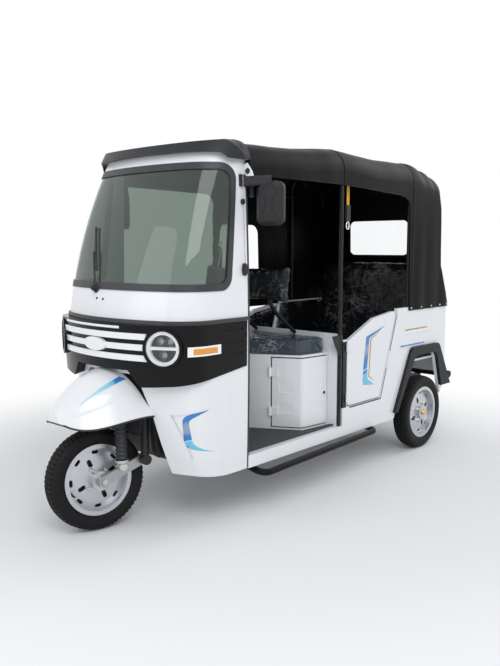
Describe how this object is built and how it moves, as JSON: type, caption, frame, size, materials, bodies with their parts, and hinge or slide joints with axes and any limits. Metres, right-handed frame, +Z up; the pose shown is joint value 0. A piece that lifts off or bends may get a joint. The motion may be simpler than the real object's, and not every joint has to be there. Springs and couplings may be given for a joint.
{
  "type": "electric passenger tricycle",
  "caption": "Three-wheeled electric passenger vehicle with a rounded cab front, open sides, a canvas top, half doors and a steered front wheel.",
  "frame": {"origin": "ground point under the middle of the bounding box", "axes": "+X forward, +Y to the vehicle's left, +Z up"},
  "size_m": [2.9348, 1.2314, 1.885],
  "materials": {
    "white_paint": "gloss",
    "black_paint": "satin",
    "gloss_black": "gloss",
    "dark_plastic": "matte",
    "chrome_trim": "polished",
    "lamp_white": "gloss",
    "lamp_clear": "clear",
    "amber_lens": "clear gloss",
    "red_lens": "gloss",
    "rubber_seal": "matte",
    "screen_glass": "tinted",
    "clear_vinyl": "clear sheet",
    "canvas": "coated canvas",
    "seat_vinyl": "film-wrapped vinyl",
    "battery_case": "matte",
    "motor_metal": "cast",
    "steel": "plain",
    "tyre_rubber": "matte",
    "rim_silver": "silver paint",
    "mirror_face": "mirror"
  },
  "bodies": {
    "body": {"chassis_frame": "black_paint", "floor_pan": "white_paint", "toe_panel": "dark_plastic", "dashboard": "dark_plastic", "front_cowl": "white_paint", "nose_band": "gloss_black", "grille_bars": "chrome_trim", "headlamp_cups": "gloss_black", "headlamp_rings": "lamp_white", "headlamp_lenses": "lamp_clear", "turn_signals": "amber_lens", "belt_trim": "rubber_seal", "windscreen_surround": "white_paint", "windscreen_seal": "rubber_seal", "windscreen_glass": "screen_glass", "roof_peak": "dark_plastic", "front_mudguard": "white_paint", "canopy_hoops": "black_paint", "canopy_cover": "canvas", "rear_window": "clear_vinyl", "bulkhead": "white_paint", "post_plates": "black_paint", "rear_tub": "white_paint", "arch_flares": "dark_plastic", "seat_box": "white_paint", "driver_cushion": "seat_vinyl", "driver_backrest": "seat_vinyl", "backrest_posts": "black_paint", "bench_base": "white_paint", "bench_cushion": "seat_vinyl", "bench_backrest": "seat_vinyl", "battery_pack": "battery_case", "rear_axle": "black_paint", "drive_motor": "motor_metal", "leaf_springs": "steel", "side_steps": "black_paint", "rear_bumper": "black_paint", "tail_lamps": "red_lens", "mirrors": "dark_plastic", "mirror_glasses": "mirror_face"},
    "steering": {"steering_fork": "black_paint", "fork_links": "steel", "front_shocks": "rubber_seal", "handlebar": "black_paint", "handle_grips": "rubber_seal", "instrument_pod": "dark_plastic"},
    "front_wheel": {"front_tyre": "tyre_rubber", "front_rim": "rim_silver"},
    "rear_left_wheel": {"rear_left_tyre": "tyre_rubber", "rear_left_rim": "rim_silver"},
    "rear_right_wheel": {"rear_right_tyre": "tyre_rubber", "rear_right_rim": "rim_silver"},
    "left_door": {"left_door": "white_paint"},
    "right_door": {"right_door": "white_paint"},
    "seat_box_door": {"seat_box_door": "white_paint"}
  },
  "joints": [
    {"name": "steering", "type": "hinge", "parent": "body", "child": "steering", "pos_m": [1.10505, 0, 0.6], "axis": [-0.309, 0, 0.9511], "range_deg": [-23, 47]},
    {"name": "front_wheel_spin", "type": "hinge", "parent": "steering", "child": "front_wheel", "pos_m": [1.22984, -0.00158, 0.23975], "axis": [0.1977, 0.9781, 0.0642], "continuous": true},
    {"name": "rear_left_wheel_spin", "type": "hinge", "parent": "body", "child": "rear_left_wheel", "pos_m": [-1.05, 0.438, 0.24], "axis": [0, 1, 0], "continuous": true},
    {"name": "rear_right_wheel_spin", "type": "hinge", "parent": "body", "child": "rear_right_wheel", "pos_m": [-1.05, -0.438, 0.24], "axis": [0, 1, 0], "continuous": true},
    {"name": "left_door_hinge", "type": "hinge", "parent": "body", "child": "left_door", "pos_m": [-0.15, 0.4865, 0.6], "axis": [0, 0, -1], "range_deg": [0, 85]},
    {"name": "right_door_hinge", "type": "hinge", "parent": "body", "child": "right_door", "pos_m": [-0.15, -0.4865, 0.6], "axis": [0, 0, 1], "range_deg": [0, 85]},
    {"name": "seat_box_door_hinge", "type": "hinge", "parent": "body", "child": "seat_box_door", "pos_m": [0.22647, 0.22862, 0.53], "axis": [0, 0, -1], "range_deg": [0, 95]}
  ]
}
